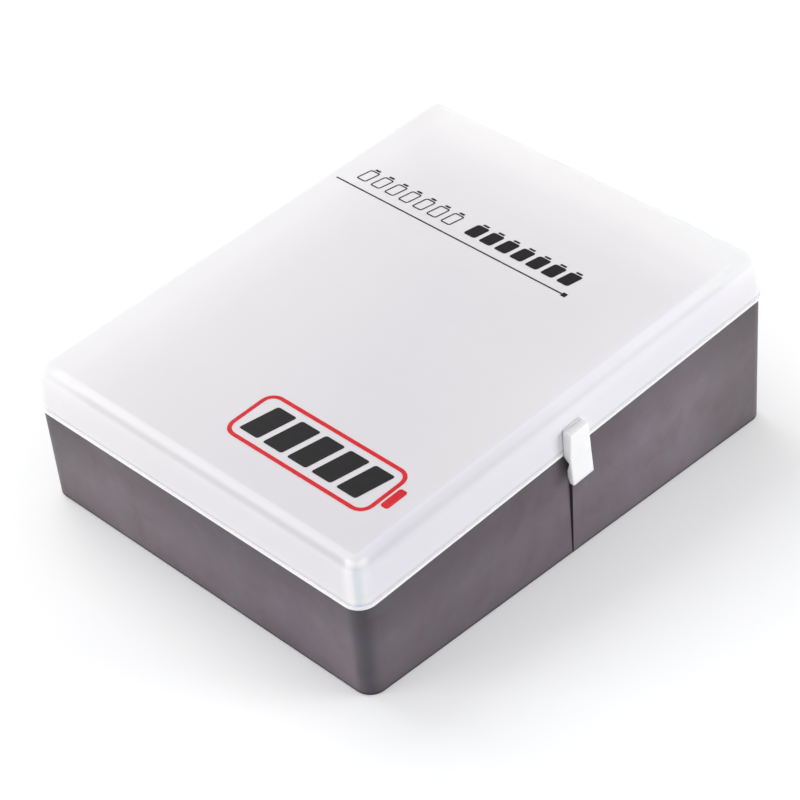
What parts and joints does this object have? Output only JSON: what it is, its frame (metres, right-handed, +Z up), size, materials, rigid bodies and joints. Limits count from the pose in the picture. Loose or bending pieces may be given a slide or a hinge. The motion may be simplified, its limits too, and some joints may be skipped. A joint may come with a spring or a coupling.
{
  "type": "battery storage case",
  "caption": "Wedge-shaped storage case for dry cells: dark base with drop-in racks, frosted hinged lid and a snap clip on its side.",
  "frame": {"origin": "middle of the base's flat foot, on the table", "axes": "+Y along the case towards its high end, +X across it towards the clip, +Z up"},
  "size_m": [0.1634, 0.2005, 0.0709],
  "materials": {
    "base_plastic": "satin moulded, dark warm grey",
    "lid_plastic": "frosted translucent",
    "clip_plastic": "frosted translucent, thick",
    "rack_plastic": "fine matt moulded",
    "pin_steel": "drawn wire"
  },
  "bodies": {
    "base": {"base_shell": "base_plastic", "hinge_pin_low": "pin_steel", "hinge_pin_high": "pin_steel", "d_cell_rack": "rack_plastic", "c_cell_rack": "rack_plastic", "nine_volt_rack": "rack_plastic", "aa_cell_rack": "rack_plastic", "aaa_cell_rack_1": "rack_plastic", "aaa_cell_rack_2": "rack_plastic"},
    "lid_body": {"lid": "lid_plastic"},
    "clip_body": {"lid_clip": "clip_plastic"}
  },
  "joints": [
    {"name": "lid_hinge", "type": "hinge", "parent": "base", "child": "lid_body", "pos_m": [-0.07945, -0.00372, 0.0459], "axis": [0, -0.9967, -0.0809], "range_deg": [0, 110]},
    {"name": "clip_hinge", "type": "hinge", "parent": "lid_body", "child": "clip_body", "pos_m": [0.07576, -0.00449, 0.05537], "axis": [0, -0.9967, -0.0809], "range_deg": [0, 90]}
  ]
}
